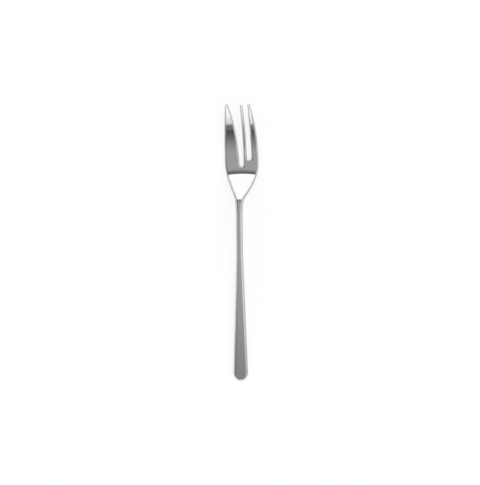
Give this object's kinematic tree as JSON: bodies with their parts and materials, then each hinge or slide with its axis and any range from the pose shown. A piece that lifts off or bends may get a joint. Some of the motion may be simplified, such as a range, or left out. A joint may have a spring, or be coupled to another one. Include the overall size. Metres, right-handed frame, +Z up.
{
  "type": "cake fork",
  "caption": "Steel cake fork: a bent head with a broad cutting tine beside slender tines, its tang set in the socket of a slim tapered handle with a round end.",
  "frame": {"origin": "on the table under the middle of the fork, at the bottom centre of its box", "axes": "+Y along the fork from the handle's end to the tines, +Z up from the table with the bowl facing up, +X to the right with the cutting tine at -X"},
  "size_m": [0.019, 0.155, 0.0096],
  "materials": {
    "head_steel": "polished",
    "handle_steel": "satin"
  },
  "bodies": {
    "root": {"fork_head": "head_steel", "handle": "handle_steel"}
  },
  "joints": []
}
